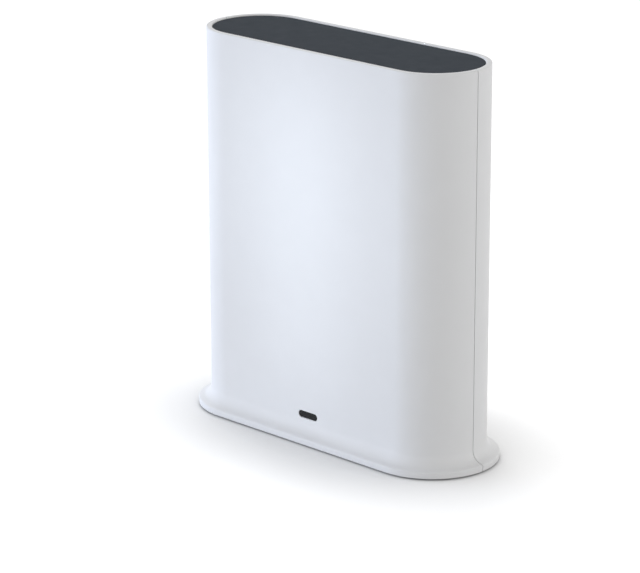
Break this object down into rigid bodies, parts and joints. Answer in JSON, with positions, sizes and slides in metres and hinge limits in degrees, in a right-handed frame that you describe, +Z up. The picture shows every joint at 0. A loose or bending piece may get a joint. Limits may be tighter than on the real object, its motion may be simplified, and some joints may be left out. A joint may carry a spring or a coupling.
{
  "type": "security camera base station",
  "caption": "Upright wireless camera base station: two-piece case with rounded ends and a flared foot, dark top cover, status window, sync button and rear sockets.",
  "frame": {"origin": "centre of the footprint on the table, under the middle of the body", "axes": "+Z up, +X to the right seen from the front, front face towards -Y, sockets at the rear towards +Y"},
  "size_m": [0.129, 0.0474, 0.14],
  "materials": {
    "white_shell": "satin white moulded plastic",
    "charcoal_cover": "fine matte charcoal plastic",
    "smoked_window": "smoked translucent plastic",
    "button_white": "satin white moulded plastic",
    "foot_rubber": "matte rubber",
    "board_green": "solder mask over glass fibre",
    "chip_black": "moulded epoxy",
    "socket_black": "moulded insulator",
    "shield_steel": "tinned sheet steel",
    "contact_gold": "gold-plated contacts",
    "sink_aluminium": "extruded aluminium",
    "thermal_grey": "soft filled silicone",
    "screw_steel": "zinc-plated steel",
    "lead_grey": "thin coaxial lead",
    "antenna_brown": "copper-clad strip",
    "lamp_ivory": "lamp package",
    "can_dark": "sleeved capacitor can"
  },
  "bodies": {
    "root": {"front_shell": "white_shell", "rear_shell": "white_shell", "top_panel": "charcoal_cover", "base_plate": "white_shell", "rubber_feet": "foot_rubber", "base_screws": "screw_steel", "light_pipe": "smoked_window", "status_led": "lamp_ivory", "io_plate": "charcoal_cover", "sync_switch": "socket_black", "reset_switch": "socket_black", "main_board": "board_green", "board_screws": "screw_steel", "processor": "chip_black", "thermal_pad": "thermal_grey", "heat_sink": "sink_aluminium", "memory_chips": "chip_black", "flash_chip": "chip_black", "radio_shield": "shield_steel", "radio_chips": "chip_black", "ethernet_shield": "shield_steel", "ethernet_insert": "socket_black", "ethernet_contacts": "contact_gold", "ethernet_transformer": "chip_black", "usb_shell": "shield_steel", "usb_insert": "socket_black", "usb_contacts": "contact_gold", "dc_jack_body": "socket_black", "dc_jack_pin": "shield_steel", "dc_jack_leaf": "contact_gold", "capacitors": "can_dark", "inductors": "chip_black", "crystal": "shield_steel", "antenna_left": "antenna_brown", "antenna_right": "antenna_brown", "lead_left": "lead_grey", "lead_right": "lead_grey", "lead_plugs": "contact_gold"},
    "sync": {"sync_button": "button_white", "sync_plunger": "chip_black"},
    "reset": {"reset_plunger": "chip_black"}
  },
  "joints": [
    {"name": "sync_press", "type": "slide", "parent": "root", "child": "sync", "axis": [0, -1, 0], "range_m": [0, 0.0005], "stiffness_N_per_m": 4000},
    {"name": "reset_press", "type": "slide", "parent": "root", "child": "reset", "axis": [0, -1, 0], "range_m": [0, 0.0003], "stiffness_N_per_m": 5000}
  ]
}
